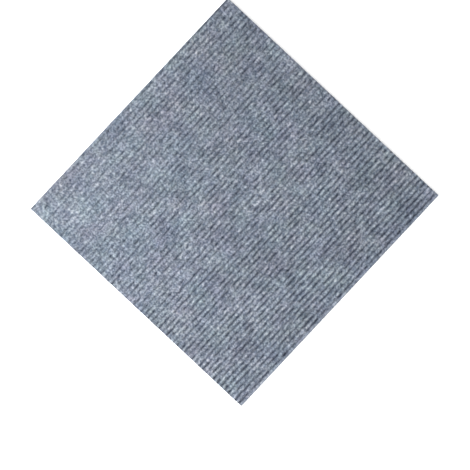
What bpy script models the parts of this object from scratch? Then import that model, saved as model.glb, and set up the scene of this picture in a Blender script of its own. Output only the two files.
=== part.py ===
# Square carpet tile: a ribbed needle-punched felt face bonded to a flat flexible backing.
# Metres, +Z up. The tile lies flat, its sides are parallel to X and Y, the ribs run along X,
# and the origin is at the centre of the underside.

import math

import bmesh
import bpy

# Overall square, cut edge to cut edge. Both layers are cut in one stroke, so they share it.
TILE_SIDE = 0.3048

# Backing sheet.
BACKING_THICKNESS = 0.0018

# Bond line between the backing and the felt.
BOND_GAP = 0.0003

# Felt face: a web of even thickness under the grooves, with round-topped ribs above it.
WEB_THICKNESS = 0.0018
RIB_HEIGHT = 0.0011
RIB_PITCH = 0.00532
GROOVE_WIDTH = 0.0006

# Distance from the cut edge at -Y to the middle of the first groove. The cut leaves part ribs
# at -Y and +Y, because it doesn't follow the rib pattern.
FIRST_GROOVE = 0.0025

# Straight segments that draw the round top of one rib.
RIB_SEGMENTS = 6

FELT_COLOUR = (0.213, 0.242, 0.296, 1.0)
BACKING_COLOUR = (0.030, 0.031, 0.034, 1.0)


def clear_scene():
    for thing in list(bpy.data.objects):
        bpy.data.objects.remove(thing, do_unlink=True)


def plain_material(name, colour, roughness):
    material = bpy.data.materials.new(name)
    material.use_nodes = True
    shader = material.node_tree.nodes["Principled BSDF"]
    shader.inputs["Base Color"].default_value = colour
    shader.inputs["Roughness"].default_value = roughness
    shader.inputs["Metallic"].default_value = 0.0
    return material


def add_object(name, mesh_builder, material):
    mesh = bpy.data.meshes.new(name)
    shape = bmesh.new()
    mesh_builder(shape)
    bmesh.ops.recalc_face_normals(shape, faces=shape.faces)
    shape.to_mesh(mesh)
    shape.free()
    mesh.materials.append(material)
    thing = bpy.data.objects.new(name, mesh)
    bpy.context.scene.collection.objects.link(thing)
    return thing


def rib_rise(from_centre):
    """Height of a rib's round top above the groove floor, at a distance from the rib's centre line."""
    half_width = (RIB_PITCH - GROOVE_WIDTH) / 2
    if abs(from_centre) >= half_width:
        return 0.0
    radius = (half_width**2 + RIB_HEIGHT**2) / (2 * RIB_HEIGHT)
    return math.sqrt(radius**2 - from_centre**2) - (radius - RIB_HEIGHT)


def edge_point(stations, y):
    """The point where a cut edge crosses the line through the stations."""
    for (y0, rise0), (y1, rise1) in zip(stations, stations[1:]):
        if y0 <= y <= y1:
            return (y, rise0 + (rise1 - rise0) * (y - y0) / (y1 - y0))
    return (y, 0.0)


def top_points():
    """(y, rise) along the ribbed top from the -Y edge to the +Y edge."""
    half_side = TILE_SIDE / 2
    half_width = (RIB_PITCH - GROOVE_WIDTH) / 2
    ribs_before = math.ceil(FIRST_GROOVE / RIB_PITCH)
    first_centre = -half_side + FIRST_GROOVE - (ribs_before - 0.5) * RIB_PITCH
    rib_count = math.ceil((half_side - first_centre) / RIB_PITCH) + 1
    # A point nearer to a cut edge than this would leave a sliver there.
    least_step = RIB_PITCH / 50

    stations = []
    for rib in range(rib_count):
        centre = first_centre + rib * RIB_PITCH
        for step in range(RIB_SEGMENTS + 1):
            from_centre = half_width * (2 * step / RIB_SEGMENTS - 1)
            stations.append((centre + from_centre, rib_rise(from_centre)))

    inside = [point for point in stations if abs(point[0]) < half_side - least_step]
    return [edge_point(stations, -half_side), *inside, edge_point(stations, half_side)]


def build_ribbed_face(shape):
    """The felt's section across the ribs, drawn at the -X edge and extruded along X."""
    half_side = TILE_SIDE / 2
    underside = BACKING_THICKNESS + BOND_GAP
    groove_floor = underside + WEB_THICKNESS
    outline = [(-half_side, underside)]
    outline += [(y, groove_floor + rise) for y, rise in top_points()]
    outline += [(half_side, underside)]
    section = shape.faces.new([shape.verts.new((-half_side, y, z)) for y, z in outline])
    extruded = bmesh.ops.extrude_face_region(shape, geom=[section])
    moved = [part for part in extruded["geom"] if isinstance(part, bmesh.types.BMVert)]
    bmesh.ops.translate(shape, verts=moved, vec=(TILE_SIDE, 0, 0))


def build_backing(shape):
    """A plain flat sheet under the felt, flush with it on all four sides."""
    bmesh.ops.create_cube(shape, size=1.0)
    bmesh.ops.scale(shape, verts=shape.verts, vec=(TILE_SIDE, TILE_SIDE, BACKING_THICKNESS))
    bmesh.ops.translate(shape, verts=shape.verts, vec=(0, 0, BACKING_THICKNESS / 2))


clear_scene()
add_object(
    "ribbed_face",
    build_ribbed_face,
    plain_material("ribbed_felt", FELT_COLOUR, 0.95),
)
add_object(
    "backing",
    build_backing,
    plain_material("backing_sheet", BACKING_COLOUR, 0.75),
)
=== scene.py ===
# Looks of the ribbed carpet tile: the heathered needle-punched felt face with its ribs, loose
# fibres and cut edges, and the backing sheet under it. Metres, +Z up, in the frame of the CAD
# model: the tile lies flat, its ribs run along X, and the origin is the centre of its underside.

import math

import bmesh
import bpy
import numpy as np
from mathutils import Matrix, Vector


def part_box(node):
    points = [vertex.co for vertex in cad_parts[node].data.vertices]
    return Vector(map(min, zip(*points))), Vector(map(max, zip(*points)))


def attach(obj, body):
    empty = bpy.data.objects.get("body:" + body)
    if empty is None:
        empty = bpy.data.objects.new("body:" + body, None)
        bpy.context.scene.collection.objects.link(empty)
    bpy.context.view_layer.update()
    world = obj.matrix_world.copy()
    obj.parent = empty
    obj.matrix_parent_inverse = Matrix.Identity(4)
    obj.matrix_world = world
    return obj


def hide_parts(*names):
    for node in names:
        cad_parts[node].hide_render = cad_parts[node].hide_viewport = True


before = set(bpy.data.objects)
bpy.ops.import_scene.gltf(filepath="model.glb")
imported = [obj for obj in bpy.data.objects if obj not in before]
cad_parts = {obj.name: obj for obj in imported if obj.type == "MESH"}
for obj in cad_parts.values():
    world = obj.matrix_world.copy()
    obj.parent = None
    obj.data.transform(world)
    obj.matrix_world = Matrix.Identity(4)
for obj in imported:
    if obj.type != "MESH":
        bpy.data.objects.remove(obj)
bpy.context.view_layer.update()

MM = 0.001

# Levels and half side of the tile, from the frame, and the thin bond line between its layers.
face_low, face_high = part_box("ribbed_face")
backing_low, backing_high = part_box("backing")
HALF_SIDE = face_high.x
CREST = face_high.z
BOND_LINE = 0.05 * MM
FELT_UNDERSIDE = backing_high.z + BOND_LINE

# A point of the CAD face that is nearer to a level than this lies on it.
NEAR = 0.01 * MM


def groove_lines():
    """Y of the middle of each groove, and the level of the groove floors. The CAD face has two lines
    of points on each groove floor."""
    points = np.array([vertex.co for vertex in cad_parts["ribbed_face"].data.vertices])
    top = points[points[:, 2] > face_low.z + NEAR]
    floor = top[:, 2].min()
    lines = np.unique(np.round(top[top[:, 2] < floor + NEAR, 1], 6))
    middles = (lines[:-1] + lines[1:]) / 2
    narrow = np.diff(lines) < np.diff(lines).max() / 2
    return middles[narrow], floor


GROOVES, GROOVE_FLOOR = groove_lines()
RIB_PITCH = (GROOVES[-1] - GROOVES[0]) / (len(GROOVES) - 1)

# Lie of the ribs, in shares of a rib: how far they fan out towards +Y, bow towards -Y at mid tile
# and lie towards +Y as a whole.
FAN, BOW, SHIFT = 1.0, 0.12, 0.24

# The ribs also stray sideways: how far, and over what lengths along X and Y.
LONG_WANDER, LONG_WANDER_X, LONG_WANDER_Y = 0.30 * MM, 13 * MM, 8 * MM
SHORT_WANDER, SHORT_WANDER_X, SHORT_WANDER_Y = 0.38 * MM, 3.0 * MM, 2.6 * MM

# Grooves. A groove's depth is a share of the full depth that changes from run to run. It is less
# towards +Y and least at the corner between -X and +Y, and it leaves a web under it.
FULL_DEPTH = 1.6 * (CREST - GROOVE_FLOOR)
LEAST_DEPTH, MOST_DEPTH, DEPTH_SPREAD = 0.54, 1.28, 0.8
DEPTH_RUN = 4.5 * MM
DEPTH_LOSS, CORNER_LOSS = 0.22, 0.5
GROOVE_SHAPE = 1.9
LEAST_WEB = 0.8 * MM

# Depth under the crest at which the shade painted into the grooves is darkest.
PAINTED_SHADE_DEPTH = 1.3 * FULL_DEPTH

# Lumps of the felt: a row of loops along each rib, and knots and crumbs all over. Without them the
# top of a rib is a little lower than the CAD crest.
CREST_DROP = 0.3 * MM
LOOP_HEIGHT, LOOP_LENGTH = 0.42 * MM, 1.7 * MM
KNOT_HEIGHT, KNOT_SIZE = 0.36 * MM, 2.1 * MM
CRUMB_HEIGHT, CRUMB_SIZE = 0.15 * MM, 1.1 * MM

# Grid of the felt's top, and how far it reaches past the cut, in columns and in ribs.
ROWS_PER_RIB = 6
COLUMNS = 258
SPARE_COLUMNS, SPARE_RIBS = 1.5, 1.2

# Rows that the cut sides are drawn down in, their roughness, and how near to the cut a point of
# the rim is. X plus the slant times Y tells the places around the rim apart for the noise.
SIDE_ROWS = 4
SIDE_ROUGHNESS, SIDE_LUMP = 0.12 * MM, 0.9 * MM
RIM_WIDTH = 0.2 * MM
RIM_SLANT = 1.7

# Random fields: points along a side of their table, their seeds, and how many rows of the table
# lie between one groove or rib and the next.
NOISE_TABLE = 512
LONG_SEED, SHORT_SEED, DEPTH_SEED, LOOP_SEED, KNOT_SEED, CRUMB_SEED = range(1, 7)
SIDE_SEED, KNIFE_SEED = 20, 40
GROOVE_STRIDE, RIB_STRIDE = 7, 5


def smooth_noise(seed, x, y, cell_x, cell_y):
    """A smooth random field from -1 to 1, with lumps about as large as a cell."""
    table = np.random.default_rng(seed).uniform(-1, 1, (NOISE_TABLE, NOISE_TABLE))
    across, along = x / cell_x, y / cell_y
    column, row = np.floor(across).astype(int), np.floor(along).astype(int)
    u, v = across - column, along - row
    u, v = u * u * (3 - 2 * u), v * v * (3 - 2 * v)

    def corner(right, up):
        return table[(column + right) % NOISE_TABLE, (row + up) % NOISE_TABLE]

    low = corner(0, 0) * (1 - u) + corner(1, 0) * u
    high = corner(0, 1) * (1 - u) + corner(1, 1) * u
    return low * (1 - v) + high * v


def row_noise(seed, along, row, cell):
    """Smooth noise along a row. Whole rows share nothing with each other."""
    return smooth_noise(seed, along, row, cell, 1)


def wander(x, y):
    """How far the rib pattern lies towards -Y of the straight pattern."""
    side = 2 * HALF_SIDE
    stray = BOW * np.cos(math.pi * y / side) - FAN * x / side * (y / side + 0.5) - SHIFT
    stray = RIB_PITCH * stray
    stray = stray + LONG_WANDER * smooth_noise(LONG_SEED, x, y, LONG_WANDER_X, LONG_WANDER_Y)
    return stray + SHORT_WANDER * smooth_noise(SHORT_SEED, x, y, SHORT_WANDER_X, SHORT_WANDER_Y)


def groove_depth(x, rib_y, groove):
    """Depth of the numbered groove at x."""
    share = row_noise(DEPTH_SEED, x, groove * GROOVE_STRIDE, DEPTH_RUN)
    share = (0.5 + DEPTH_SPREAD * share).clip(0, 1)
    share = LEAST_DEPTH + (MOST_DEPTH - LEAST_DEPTH) * share
    near_corner = (0.5 - 0.5 * x / HALF_SIDE) * (0.5 + 0.5 * rib_y / HALF_SIDE)
    share = share * (1 - DEPTH_LOSS * rib_y / HALF_SIDE) * (1 - CORNER_LOSS * near_corner**2)
    return share * FULL_DEPTH


def relief(x, rib_y):
    """Height of the felt's top where the straight pattern, before its wander, has the line rib_y."""
    phase = (rib_y - GROOVES[0]) / RIB_PITCH
    groove = np.round(phase)
    off_crest = 1 - 2 * np.abs(phase - groove)
    dip = groove_depth(x, rib_y, groove) * off_crest**GROOVE_SHAPE
    loops = row_noise(LOOP_SEED, x, np.floor(phase) * RIB_STRIDE, LOOP_LENGTH)
    loops = LOOP_HEIGHT * loops * (1 - off_crest)
    knots = KNOT_HEIGHT * smooth_noise(KNOT_SEED, x, rib_y, KNOT_SIZE, KNOT_SIZE)
    crumbs = CRUMB_HEIGHT * smooth_noise(CRUMB_SEED, x, rib_y, CRUMB_SIZE, CRUMB_SIZE)
    height = CREST - CREST_DROP - dip + loops + knots + crumbs
    return np.maximum(height, FELT_UNDERSIDE + LEAST_WEB)


def felt_height(x, y):
    """Height of the felt's top at a point of the tile. The wander is known by lines of the straight
    pattern, so the line that passes through the point is found in two steps."""
    rib_y = y + wander(x, y)
    rib_y = y + wander(x, rib_y)
    return relief(x, rib_y)


def add_mesh(name, points, faces, material):
    """Adds a smooth-shaded piece to the scene. points is an array, and faces is a list."""
    mesh = bpy.data.meshes.new(name)
    mesh.from_pydata(points.tolist(), [], faces)
    mesh.materials.append(material)
    mesh.shade_smooth()
    piece = bpy.data.objects.new(name, mesh)
    bpy.context.scene.collection.objects.link(piece)
    return piece


def mesh_points(piece):
    """The places of a piece's points, as an array with one row for each."""
    points = np.empty(len(piece.data.vertices) * 3)
    piece.data.vertices.foreach_get("co", points)
    return points.reshape(-1, 3)


def add_point_values(piece, name, values):
    """Stores one number for each point, for the material to read."""
    attribute = piece.data.attributes.new(name, "FLOAT", "POINT")
    attribute.data.foreach_set("value", values.astype(np.float32))


# UV maps for baking


def corner_values(piece, point_uv):
    """Values at the corners of the faces, from one place in the map for each point."""
    corners = np.empty(len(piece.data.loops), np.int32)
    piece.data.loops.foreach_get("vertex_index", corners)
    return np.ascontiguousarray(point_uv[corners], np.float32)


def add_map(piece, values):
    """Gives the piece its own UV map, with one value for each corner of a face."""
    layer = piece.data.uv_layers.new(name="OFBake")
    layer.data.foreach_set("uv", values.ravel())


def map_square(piece, shown):
    """Maps a layer of the tile from the side that shows, up (1) or down (-1): its edges fold outward,
    and the side that is hidden goes small in a corner of the map."""
    map_side = 2.1 * HALF_SIDE
    edge_width = 0.4 * MM
    hidden_place, hidden_side = 0.002, 0.01
    points = mesh_points(piece)
    level = points[:, 2].max() if shown > 0 else points[:, 2].min()
    at_edge = np.abs(points[:, :2]) > HALF_SIDE - edge_width
    fold = np.sign(points[:, :2]) * at_edge * np.abs(points[:, 2:] - level)
    values = corner_values(piece, (points[:, :2] + fold) / map_side + 0.5)

    normals = np.empty(len(piece.data.polygons) * 3)
    piece.data.polygons.foreach_get("normal", normals)
    sizes = np.empty(len(piece.data.polygons), np.int32)
    piece.data.polygons.foreach_get("loop_total", sizes)
    hidden = np.repeat(normals[2::3] * shown < -0.99, sizes)
    values[hidden] = hidden_place + hidden_side * values[hidden]
    add_map(piece, values)


# Node materials

# Fibres that are drawn in the felt's own surface: their width, how much longer they are than wide,
# and their headings in degrees from the ribs.
MAT_WIDTH = 0.22 * MM
MAT_STRETCH = (7, 1, 1.6)
MAT_HEADINGS = (6, 47, -38, 96)


class Nodes:
    """A short way to write a material's node tree."""

    def __init__(self, name):
        self.material = bpy.data.materials.new(name)
        self.material.use_nodes = True
        self.tree = self.material.node_tree
        self.shader = self.tree.nodes["Principled BSDF"]

    def add(self, kind, **values):
        node = self.tree.nodes.new("ShaderNode" + kind)
        for key, value in values.items():
            setattr(node, key, value)
        return node

    def link(self, source, target):
        self.tree.links.new(source, target)

    def places(self, lump, turn):
        """Object coordinates turned about Z, in which a lump of the given size is one unit."""
        coordinates = self.add("TexCoord")
        rotation = self.add("VectorRotate", rotation_type="Z_AXIS")
        rotation.inputs["Angle"].default_value = math.radians(turn)
        mapping = self.add("Mapping")
        mapping.inputs["Scale"].default_value = [1 / size for size in lump]
        self.link(coordinates.outputs["Object"], rotation.inputs["Vector"])
        self.link(rotation.outputs["Vector"], mapping.inputs["Vector"])
        return mapping.outputs["Vector"]

    def noise(self, lump, detail=2.0, stretch=(1, 1, 1), turn=0):
        """A noise with lumps of about one size, stretched and then turned about Z in degrees."""
        node = self.add("TexNoise")
        node.inputs["Scale"].default_value = 1.0
        node.inputs["Detail"].default_value = detail
        self.link(self.places([lump * share for share in stretch], turn), node.inputs["Vector"])
        return node.outputs["Fac"]

    def highest(self, values):
        """The highest of several values."""
        result = values[0]
        for value in values[1:]:
            node = self.add("Math", operation="MAXIMUM")
            self.link(result, node.inputs[0])
            self.link(value, node.inputs[1])
            result = node.outputs[0]
        return result

    def matted_fibres(self):
        """Long thin lumps that cross each other at several headings."""
        return self.highest([self.noise(MAT_WIDTH, 1.0, MAT_STRETCH, turn) for turn in MAT_HEADINGS])

    def ramp(self, factor, stops):
        """Colours for a factor from 0 to 1. Each stop is a place and a colour."""
        node = self.add("ValToRGB")
        elements = node.color_ramp.elements
        while len(elements) < len(stops):
            elements.new(0.5)
        for element, (place, colour) in zip(elements, stops):
            element.position = place
            element.color = (*colour, 1)
        self.link(factor, node.inputs["Fac"])
        return node.outputs["Color"]

    def grey_ramp(self, factor, low, high):
        """A grey for the middle range of a noise: its low and its high end."""
        return self.ramp(factor, [(0.3, (low,) * 3), (0.7, (high,) * 3)])

    def product(self, a, b):
        """Two colours multiplied."""
        node = self.add("Mix", data_type="RGBA", blend_type="MULTIPLY")
        node.inputs["Factor"].default_value = 1.0
        self.link(a, node.inputs[6])
        self.link(b, node.inputs[7])
        return node.outputs[2]

    def attribute(self, name):
        return self.add("Attribute", attribute_name=name).outputs["Fac"]

    def bump(self, height, strength, distance):
        """Bumps that the shader's normal follows."""
        node = self.add("Bump")
        node.inputs["Strength"].default_value = strength
        node.inputs["Distance"].default_value = distance
        self.link(height, node.inputs["Height"])
        self.link(node.outputs["Normal"], self.shader.inputs["Normal"])


# Colours of the blended fibre and of the backing compound.
DARK_FIBRE = (0.061, 0.072, 0.102)
MID_FIBRE = (0.218, 0.252, 0.305)
LIGHT_FIBRE = (0.425, 0.480, 0.557)
DARK_COMPOUND = (0.020, 0.021, 0.023)
LIGHT_COMPOUND = (0.050, 0.051, 0.055)

# Clumps of the blended fibre: size, and the brightness of the dark and of the light ones. They are
# a little longer across the ribs than along them.
BLEND_DETAIL = 0.5
CLUMP_STRETCH = (0.9, 1.1, 1)
CLUMPS = (
    (2.0 * MM, 0.49, 1.27),
    (5 * MM, 0.79, 1.14),
    (12 * MM, 0.93, 1.06),
    (30 * MM, 0.87, 1.13),
)

# Red, green and blue follow brightness to these powers, so dark felt is bluer than light felt.
TONE_POWERS = (1.12, 1.0, 0.83)

# Slow drifts of hue: size, turn of the pattern, and how far it goes to cool and warm, and to green
# and purple.
DRIFT_STRETCH = (1, 1, 3)
DRIFTS = (
    (7 * MM, 70, 0.007, 0.000),
    (8 * MM, 0, 0.000, 0.013),
    (18 * MM, 20, 0.013, 0.000),
    (30 * MM, 140, 0.006, 0.022),
    (50 * MM, 100, 0.018, 0.004),
)

# Painted light and shade of the ribs: share of the felt's brightness at the crests, a little painted
# light, and at the bottom of the deepest grooves, painted shade.
CREST_PAINTED_TONE, GROOVE_PAINTED_SHADE = 1.02, 0.12


def tone(brightness):
    """A colour to multiply with, which makes the felt lighter above 1 and darker below it."""
    return tuple(brightness**power for power in TONE_POWERS)


def hue(cool, green):
    """A colour to multiply with, which makes the felt bluer and greener by the two shares."""
    return (1 - cool - green / 2, 1 + green, 1 + cool - green / 2)


def heather(nodes, colour):
    """Uneven blending of the fibre: dark and light clumps of several sizes, and slow drifts of hue."""
    for size, dark, light in CLUMPS:
        clump = nodes.noise(size, BLEND_DETAIL, CLUMP_STRETCH)
        share = nodes.ramp(clump, [(0.3, tone(dark)), (0.7, tone(light))])
        colour = nodes.product(colour, share)
    for size, turn, cool, green in DRIFTS:
        drift = nodes.noise(size, BLEND_DETAIL, DRIFT_STRETCH, turn)
        share = nodes.ramp(drift, [(0.3, hue(cool, green)), (0.7, hue(-cool, -green))])
        colour = nodes.product(colour, share)
    return colour


def soft_gloss(nodes, specular):
    """The weak gloss and the faint sheen of loose fibre."""
    nodes.shader.inputs["Specular IOR Level"].default_value = specular
    nodes.shader.inputs["Sheen Weight"].default_value = 0.15
    nodes.shader.inputs["Sheen Roughness"].default_value = 0.6


def felt_material():
    """Matted fibre, with shade painted in that darkens it down in the grooves."""
    nodes = Nodes("ribbed_felt")
    mat = nodes.matted_fibres()
    shade = nodes.ramp(mat, [(0.44, DARK_FIBRE), (0.58, MID_FIBRE), (0.76, LIGHT_FIBRE)])
    # Painted shade: the colour darkens with depth under the crest, so it is lighter where the grooves
    # are shallower.
    stops = [(0.10, tone(CREST_PAINTED_TONE)), (1.0, tone(GROOVE_PAINTED_SHADE))]
    colour = nodes.product(shade, nodes.ramp(nodes.attribute("depth"), stops))
    nodes.link(heather(nodes, colour), nodes.shader.inputs["Base Color"])
    roughness = nodes.grey_ramp(nodes.noise(1.2 * MM), 0.88, 1.0)
    nodes.link(roughness, nodes.shader.inputs["Roughness"])
    nodes.bump(mat, 0.8, 0.4 * MM)
    soft_gloss(nodes, 0.2)
    return nodes.material


def fibre_material():
    """Loose fibres, each with its own shade of the blend."""
    nodes = Nodes("felt_fibres")
    stops = [(0.0, DARK_FIBRE), (0.5, MID_FIBRE), (1.0, LIGHT_FIBRE)]
    shade = nodes.ramp(nodes.attribute("shade"), stops)
    mottle = nodes.grey_ramp(nodes.noise(0.8 * MM), 0.88, 1.1)
    colour = heather(nodes, nodes.product(shade, mottle))
    nodes.link(colour, nodes.shader.inputs["Base Color"])
    roughness = nodes.grey_ramp(nodes.noise(1.5 * MM), 0.75, 0.95)
    nodes.link(roughness, nodes.shader.inputs["Roughness"])
    soft_gloss(nodes, 0.25)
    return nodes.material


def backing_material():
    """Dull black compound with fine speckles and a little dust."""
    nodes = Nodes("backing_compound")
    stops = [(0.35, DARK_COMPOUND), (0.7, LIGHT_COMPOUND)]
    speckle = nodes.ramp(nodes.noise(1.2 * MM, 3.0), stops)
    dust = nodes.ramp(nodes.noise(22 * MM, 3.0), [(0.4, (0.9,) * 3), (0.75, (1.35,) * 3)])
    nodes.link(nodes.product(speckle, dust), nodes.shader.inputs["Base Color"])
    roughness = nodes.grey_ramp(nodes.noise(3 * MM), 0.62, 0.85)
    nodes.link(roughness, nodes.shader.inputs["Roughness"])
    nodes.bump(nodes.noise(1.5 * MM, 4.0), 0.6, 0.3 * MM)
    return nodes.material


# The felt's face


def grid_faces(rows, columns):
    """Quads of a grid whose points run along the columns first."""
    index = np.arange(rows * columns).reshape(rows, columns)
    quads = [index[:-1, :-1], index[:-1, 1:], index[1:, 1:], index[1:, :-1]]
    return np.stack(quads, -1).reshape(-1, 4).tolist()


def oversize_top():
    """The felt as it comes off the roll: a grid that follows the ribs and reaches past the tile."""
    spare_x = SPARE_COLUMNS * (2 * HALF_SIDE / COLUMNS)
    spare_y = SPARE_RIBS * RIB_PITCH
    step = RIB_PITCH / ROWS_PER_RIB
    rows = np.arange(-math.ceil(spare_y / step), math.ceil((2 * HALF_SIDE + spare_y) / step) + 1)
    lines = GROOVES[0] + step * (rows - round((GROOVES[0] + HALF_SIDE) / step))
    along = np.linspace(-HALF_SIDE - spare_x, HALF_SIDE + spare_x, COLUMNS)
    x, rib_y = np.meshgrid(along, lines)
    y = rib_y - wander(x, rib_y)
    points = np.stack([x, y, relief(x, rib_y)], -1).reshape(-1, 3)
    return points, grid_faces(*x.shape)


def cut_square(shape):
    """Cuts the oversize felt along the tile's four sides."""
    for outward in ((1, 0, 0), (-1, 0, 0), (0, 1, 0), (0, -1, 0)):
        everything = [*shape.verts, *shape.edges, *shape.faces]
        bmesh.ops.bisect_plane(
            shape, geom=everything, dist=1e-6, plane_co=Vector(outward) * HALF_SIDE, plane_no=outward,
            clear_outer=True,
        )


def close_sides(shape):
    """Draws the cut edge down to the underside in rough rows, and closes the underside."""
    rim = [edge for edge in shape.edges if edge.is_boundary]
    for row in range(SIDE_ROWS):
        made = bmesh.ops.extrude_edge_only(shape, edges=rim)["geom"]
        rim = [part for part in made if isinstance(part, bmesh.types.BMEdge)]
        corners = [part for part in made if isinstance(part, bmesh.types.BMVert)]
        places = np.array([corner.co for corner in corners])
        around = places[:, 0] + RIM_SLANT * places[:, 1]
        rough = SIDE_ROUGHNESS * row_noise(SIDE_SEED + row, around, around * 0, SIDE_LUMP)
        if row == SIDE_ROWS - 1:
            rough = rough * 0
        at_side = np.abs(places[:, :2]) > HALF_SIDE - RIM_WIDTH
        outward = np.where(at_side, np.sign(places[:, :2]), 0)
        places[:, :2] = outward * (HALF_SIDE + rough)[:, None] + places[:, :2] * (outward == 0)
        places[:, 2] += (FELT_UNDERSIDE - places[:, 2]) / (SIDE_ROWS - row)
        for corner, place in zip(corners, places):
            corner.co = place
    centre = shape.verts.new((0, 0, FELT_UNDERSIDE))
    for edge in rim:
        edge.smooth = False
        shape.faces.new((*edge.verts, centre))


def build_face(material):
    """The felt as one closed piece: the ribbed top, four rough cut sides and a flat underside."""
    piece = add_mesh("felt_face", *oversize_top(), material)
    shape = bmesh.new()
    shape.from_mesh(piece.data)
    cut_square(shape)
    close_sides(shape)
    bmesh.ops.recalc_face_normals(shape, faces=shape.faces)
    shape.to_mesh(piece.data)
    shape.free()
    piece.data.shade_smooth()
    # Depth under the crest, which the felt's material turns into painted shade in the grooves.
    depth = (CREST - mesh_points(piece)[:, 2]) / PAINTED_SHADE_DEPTH
    add_point_values(piece, "depth", depth.clip(0, 1))
    map_square(piece, shown=1)
    return piece


# Loose fibres

# Layers of fibres on the felt's top: name, seed, number, points along each, length, radius, rise
# between the ends, spread of the headings and bend at each point in degrees, and the share of
# them that stand up.
FIBRE_LAYERS = (
    ("fibre_bundles", 101, 10500, 5, 3.4 * MM, 0.15 * MM, 0.10 * MM, 50, 22, 0.0),
    ("short_fibres", 102, 10500, 5, 3.6 * MM, 0.09 * MM, 0.22 * MM, 80, 30, 0.2),
    ("fine_fibres", 103, 10500, 5, 4.6 * MM, 0.065 * MM, 0.30 * MM, 80, 30, 0.3),
    ("stray_fibres", 104, 4200, 8, 8.0 * MM, 0.06 * MM, 0.50 * MM, 90, 32, 0.4),
)

# How the fibres of a layer differ from each other: shares of its length, bend, radius and rise,
# and shades from dark, 0, to light, 1.
LEAST_LENGTH, MOST_LENGTH = 0.6, 1.4
LEAST_BEND, MOST_BEND = 0.3, 1.3
LEAST_RADIUS, MOST_RADIUS = 0.7, 1.2
LEAST_RISE, MOST_RISE = 0.2, 1.0
MEAN_SHADE, SHADE_SPREAD = 0.5, 0.25

# How far fibres and their ends sink into the felt's top, in radii, and how much higher than it
# bulges a fibre stands up.
SINK, END_SINK = 0.5, 1.5
STANDING_RISE = 1.5

# Fibres on the cut sides: name, seed, number, points along each, length, radius, and spread of the
# headings and bend at each point in degrees.
EDGE_NAME, EDGE_SEED, EDGE_COUNT = "cut_edge_fibres", 105, 3600
EDGE_STATIONS, EDGE_LENGTH, EDGE_RADIUS = 5, 1.9 * MM, 0.075 * MM
EDGE_LEAN, EDGE_CURL = 80, 25

# They start a little inside the cut, bulge and stand out of it, and reach near the tile's corners.
# Their middles keep a margin from the felt's crest and underside, and the rest may pass its top and
# underside a little. The level of the top is read a little inside the cut.
EDGE_SINK = 0.05 * MM
LEAST_BULGE, MOST_BULGE = 0.05 * MM, 0.22 * MM
LEAST_STANDING, MOST_STANDING, STANDING_SHARE = 0.1 * MM, 0.55 * MM, 0.25
EDGE_REACH = 0.997 * HALF_SIDE
EDGE_MARGIN = 0.2 * MM
PAST_TOP, PAST_UNDERSIDE = 0.15 * MM, 0.1 * MM
TOP_INSIDE_CUT = 0.3 * MM


def fibre_faces(rings):
    """Quads and end triangles of one three-sided fibre with the given number of rings."""
    quads, ends = [], []
    last = rings * 3 + 1
    for ring in range(rings - 1):
        for corner in range(3):
            a, b = 1 + ring * 3 + corner, 1 + ring * 3 + (corner + 1) % 3
            quads.append((a, b, b + 3, a + 3))
    for corner in range(3):
        a, b = 1 + corner, 1 + (corner + 1) % 3
        ends.append((0, b, a))
        ends.append((last, a + 3 * (rings - 1), b + 3 * (rings - 1)))
    return np.array(quads), np.array(ends)


def fibre_map(count, rings):
    """Gives each fibre a square cell of the map, with its points along the cell."""
    tip, body = 0.05, 0.15
    cells = math.ceil(math.sqrt(count))
    cell_x, cell_y = np.arange(count) % cells, np.arange(count) // cells
    rows = np.repeat(np.linspace(body, 1 - body, rings), 3)
    along = np.concatenate([[tip], rows, [1 - tip]])
    across = np.concatenate([[0.5], np.tile([body, 0.5, 1 - body], rings), [0.5]])
    u = (cell_x[:, None] + across) / cells
    v = (cell_y[:, None] + along) / cells
    return np.stack([u, v], -1).reshape(-1, 2)


def fibre_piece(name, paths, radii, shades, material):
    """Thin three-sided fibres with pointed ends. paths is (fibres, points, 3)."""
    count, stations, _ = paths.shape
    rings = stations - 2
    tangent = paths[:, 2:] - paths[:, :-2]
    tangent /= np.linalg.norm(tangent, axis=2, keepdims=True)
    side = np.cross(tangent, (0, 0, 1.0))
    side /= np.maximum(np.linalg.norm(side, axis=2, keepdims=True), 1e-9)
    normal = np.cross(side, tangent)
    corners = []
    for angle in (90, 210, 330):
        turn = math.radians(angle)
        around = math.cos(turn) * side + math.sin(turn) * normal
        corners.append(paths[:, 1:-1] + radii[:, None, None] * around)
    body = np.stack(corners, 2).reshape(count, rings * 3, 3)
    points = np.concatenate([paths[:, :1], body, paths[:, -1:]], 1)

    each = points.shape[1]
    start = np.arange(count)[:, None, None] * each
    faces = []
    for kind in fibre_faces(rings):
        faces += (start + kind).reshape(-1, kind.shape[1]).tolist()
    piece = add_mesh(name, points.reshape(-1, 3), faces, material)
    add_point_values(piece, "shade", np.repeat(shades, each))
    add_map(piece, corner_values(piece, fibre_map(count, rings)))
    return piece


def walk(rng, count, stations, length, lean, curl):
    """Plan of fibres that start at 0, 0 and bend in uneven arcs: x and y, each (fibres, stations)."""
    steps = rng.uniform(LEAST_LENGTH, MOST_LENGTH, (count, 1)) * length / (stations - 1)
    bend = rng.normal(0, math.radians(curl), (count, 1))
    turns = bend * rng.uniform(LEAST_BEND, MOST_BEND, (count, stations - 1))
    turns[:, 0] = rng.normal(0, math.radians(lean), count)
    heading = np.cumsum(turns, 1)
    start = np.zeros((count, 1))
    x = np.concatenate([start, np.cumsum(steps * np.cos(heading), 1)], 1)
    y = np.concatenate([start, np.cumsum(steps * np.sin(heading), 1)], 1)
    return x, y


def shades_and_radii(rng, count, radius):
    """How light each fibre is, from 0 to 1, and its radius."""
    shades = rng.normal(MEAN_SHADE, SHADE_SPREAD, count).clip(0, 1)
    return shades, rng.uniform(LEAST_RADIUS, MOST_RADIUS, count) * radius


def arch(share):
    """Rise along a fibre, from 0 at its ends to 1 in its middle."""
    return 4 * share * (1 - share)


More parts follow.
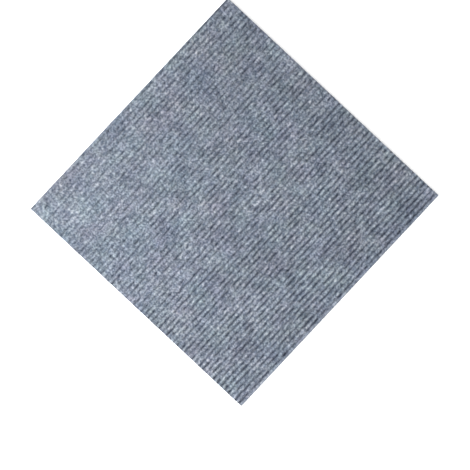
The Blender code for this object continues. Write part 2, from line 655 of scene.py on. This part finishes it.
def surface_fibres(name, seed, count, stations, length, radius, lift, lean, curl, free, material):
    """Fibres that lie on the felt's top and rise a little between their ends. Of a share of them,
    free, the last end stands up."""
    rng = np.random.default_rng(seed)
    x, y = walk(rng, count, stations, length, lean, curl)
    limit = HALF_SIDE - radius
    for values in (x, y):
        values += rng.uniform(-HALF_SIDE, HALF_SIDE, (count, 1)) - values.mean(1, keepdims=True)
        values -= (values.max(1, keepdims=True) - limit).clip(0)
        values += (-limit - values.min(1, keepdims=True)).clip(0)
    share = np.linspace(0, 1, stations)
    rise = rng.uniform(LEAST_RISE, MOST_RISE, (count, 1)) * lift
    standing = (rng.uniform(0, 1, (count, 1)) < free) * STANDING_RISE * rise
    z = felt_height(x, y) + rise * arch(share) + standing * share**2 - SINK * radius
    z[:, :1] -= END_SINK * radius
    z[:, -1:] -= np.where(standing > 0, 0, END_SINK * radius)
    shades, radii = shades_and_radii(rng, count, radius)
    return fibre_piece(name, np.stack([x, y, z], -1), radii, shades, material)


def edge_fibres(material):
    """Cut fibres on the four sides: most lie along the cut, and a few stand out of it."""
    rng = np.random.default_rng(EDGE_SEED)
    each = (EDGE_COUNT, 1)
    along, up = walk(rng, EDGE_COUNT, EDGE_STATIONS, EDGE_LENGTH, EDGE_LEAN, EDGE_CURL)
    along += rng.uniform(-EDGE_REACH, EDGE_REACH, each)
    along = along.clip(-HALF_SIDE, HALF_SIDE)
    middle = rng.uniform(FELT_UNDERSIDE + EDGE_MARGIN, CREST - EDGE_MARGIN, each)
    up = up - up.mean(1, keepdims=True) + middle
    share = np.linspace(0, 1, EDGE_STATIONS)
    bulge = rng.uniform(LEAST_BULGE, MOST_BULGE, each)
    stands = rng.uniform(0, 1, each) < STANDING_SHARE
    standing = stands * rng.uniform(LEAST_STANDING, MOST_STANDING, each)
    out = HALF_SIDE - EDGE_SINK + bulge * arch(share) + standing * share**2
    turn = rng.integers(0, 4, each) * math.pi / 2
    x = out * np.cos(turn) - along * np.sin(turn)
    y = out * np.sin(turn) + along * np.cos(turn)
    inward = np.minimum(1, (HALF_SIDE - TOP_INSIDE_CUT) / np.maximum(np.abs(x), np.abs(y)))
    top = felt_height(x * inward, y * inward) + PAST_TOP
    up = np.minimum(up, top).clip(FELT_UNDERSIDE - PAST_UNDERSIDE, None)
    shades, radii = shades_and_radii(rng, EDGE_COUNT, EDGE_RADIUS)
    return fibre_piece(EDGE_NAME, np.stack([x, y, up], -1), radii, shades, material)


# Backing

# Points along one side of the sheet, the round at its rims, how far its edge lies inside the
# felt's, and the roughness of the knife cut, whose lumps are measured in points.
BACKING_POINTS = 304
RIM_ROUND = 0.15 * MM
BACKING_INSET = 0.05 * MM
KNIFE_ROUGHNESS, KNIFE_LUMP = 0.05 * MM, 1.3


def square_outline(count):
    """Points around a square of half side 1, with a number of them on each side."""
    side = np.linspace(-1, 1, count + 1)[:-1]
    ones = np.ones(count)
    sides = [(side, -ones), (ones, side), (-side, ones), (-ones, -side)]
    return np.concatenate([np.column_stack(pair) for pair in sides])


def build_backing(material):
    """The backing sheet: flat, with slightly rough knife-cut edges and a small round at each rim."""
    outline = square_outline(BACKING_POINTS)
    total = len(outline)
    bottom, top = backing_low.z, backing_high.z
    levels = (bottom, bottom + RIM_ROUND, (bottom + top) / 2, top - RIM_ROUND, top)
    around = np.arange(total) * 1.0
    points = []
    for row, level in enumerate(levels):
        at_rim = level in (bottom, top)
        rough = KNIFE_ROUGHNESS * row_noise(KNIFE_SEED + row, around, around * 0, KNIFE_LUMP)
        reach = HALF_SIDE - BACKING_INSET - RIM_ROUND * at_rim + rough * (not at_rim)
        points.append(np.column_stack([outline * reach[:, None], np.full(total, level)]))
    points.append([[0, 0, bottom], [0, 0, top]])

    rings = [row * total + np.arange(total) for row in range(len(levels))]
    hub = len(levels) * total
    faces = []
    for lower, upper in zip(rings, rings[1:]):
        faces += np.column_stack([lower, np.roll(lower, -1), np.roll(upper, -1), upper]).tolist()
    first, last = rings[0], rings[-1]
    faces += np.column_stack([first, np.full(total, hub), np.roll(first, -1)]).tolist()
    faces += np.column_stack([last, np.roll(last, -1), np.full(total, hub + 1)]).tolist()
    piece = add_mesh("backing_sheet", np.concatenate(points), faces, material)
    piece.data.set_sharp_from_angle(angle=math.radians(30))
    map_square(piece, shown=-1)
    return piece


# Stage, lights and camera

# The photograph: its side in pixels, the tile's turn in it, its scale, and how far right of and
# above the picture's centre the tile's centre is, in pixels.
PHOTO_SIZE = 470
PHOTO_TURN = math.radians(46.88)
MM_PER_PIXEL = 1.0544
CENTRE_OFF_RIGHT, CENTRE_OFF_UP = -0.52, 33.0
LENS, SENSOR = 85, 36

# The floor is round. It is flat up to one radius and rises to its rim at another, in rings. It
# glows a little, because the photograph's ground is almost white.
FLAT_FLOOR, FLOOR_REACH, FLOOR_RISE, FLOOR_RINGS, FLOOR_SPOKES = 5, 30, 5, 9, 64
FLOOR_GLOW = 0.62

KEY_PLACE, KEY_SIZE, KEY_POWER = Vector((-0.90, 0.17, 0.92)), 0.8, 32
SKY_STRENGTH = 0.45


def plain_floor():
    """A pale round floor that rises gently far away, so that no horizon shows from low down."""
    nodes = Nodes("pale_floor")
    nodes.shader.inputs["Base Color"].default_value = (0.9, 0.9, 0.9, 1)
    nodes.shader.inputs["Roughness"].default_value = 0.8
    nodes.shader.inputs["Emission Color"].default_value = (1, 1, 1, 1)
    nodes.shader.inputs["Emission Strength"].default_value = FLOOR_GLOW
    spokes = np.arange(FLOOR_SPOKES)
    turn = 2 * math.pi * spokes / FLOOR_SPOKES
    following = (spokes + 1) % FLOOR_SPOKES
    points = [np.zeros((1, 3))]
    faces = np.column_stack([spokes * 0, 1 + spokes, 1 + following]).tolist()
    for ring, reach in enumerate(np.linspace(FLAT_FLOOR, FLOOR_REACH, FLOOR_RINGS)):
        height = FLOOR_RISE * ((reach - FLAT_FLOOR) / (FLOOR_REACH - FLAT_FLOOR)) ** 2
        circle = [reach * np.cos(turn), reach * np.sin(turn), np.full(FLOOR_SPOKES, height)]
        points.append(np.column_stack(circle))
        if ring:
            outer = 1 + ring * FLOOR_SPOKES
            inner = outer - FLOOR_SPOKES
            quads = [inner + spokes, outer + spokes, outer + following, inner + following]
            faces += np.column_stack(quads).tolist()
    floor = add_mesh("floor", np.concatenate(points), faces, nodes.material)


def image_axes():
    """The photograph's right and up, as directions on the tile."""
    turn = -PHOTO_TURN
    right = Vector((math.cos(turn), math.sin(turn), 0))
    up = Vector((-math.sin(turn), math.cos(turn), 0))
    return right, up


def add_camera():
    """A camera straight above the tile, which frames it as the photograph does."""
    right, up = image_axes()
    width = PHOTO_SIZE * MM_PER_PIXEL * MM
    distance = width / 2 / (SENSOR / 2 / LENS)
    camera = bpy.data.objects.new("camera", bpy.data.cameras.new("camera"))
    camera.data.lens, camera.data.sensor_width = LENS, SENSOR
    offset = -MM_PER_PIXEL * MM * (CENTRE_OFF_RIGHT * right + CENTRE_OFF_UP * up)
    camera.location = offset + Vector((0, 0, CREST + distance))
    camera.rotation_euler = (0, 0, -PHOTO_TURN)
    bpy.context.scene.collection.objects.link(camera)
    bpy.context.scene.camera = camera


def add_lights():
    """A soft key light from the -X side, aimed at the tile, and an even white sky. The view transform
    leaves their colours as they are."""
    light = bpy.data.lights.new("key", "AREA")
    light.shape = "DISK"
    light.size = KEY_SIZE
    light.energy = KEY_POWER
    lamp = bpy.data.objects.new("key", light)
    lamp.location = KEY_PLACE
    lamp.rotation_euler = (-KEY_PLACE).to_track_quat("-Z", "Y").to_euler()
    bpy.context.scene.collection.objects.link(lamp)
    world = bpy.data.worlds.new("studio")
    world.use_nodes = True
    world.node_tree.nodes["Background"].inputs["Color"].default_value = (1, 1, 1, 1)
    world.node_tree.nodes["Background"].inputs["Strength"].default_value = SKY_STRENGTH
    bpy.context.scene.world = world
    bpy.context.scene.view_settings.view_transform = "Standard"


def main():
    felt, fibres = felt_material(), fibre_material()
    face = build_face(felt)
    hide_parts("ribbed_face")
    backing = build_backing(backing_material())
    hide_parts("backing")

    layers = [surface_fibres(*layer, fibres) for layer in FIBRE_LAYERS]
    layers.append(edge_fibres(fibres))
    for piece in (face, *layers):
        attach(piece, "root")
    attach(backing, "root")
    plain_floor()
    add_lights()
    add_camera()


main()
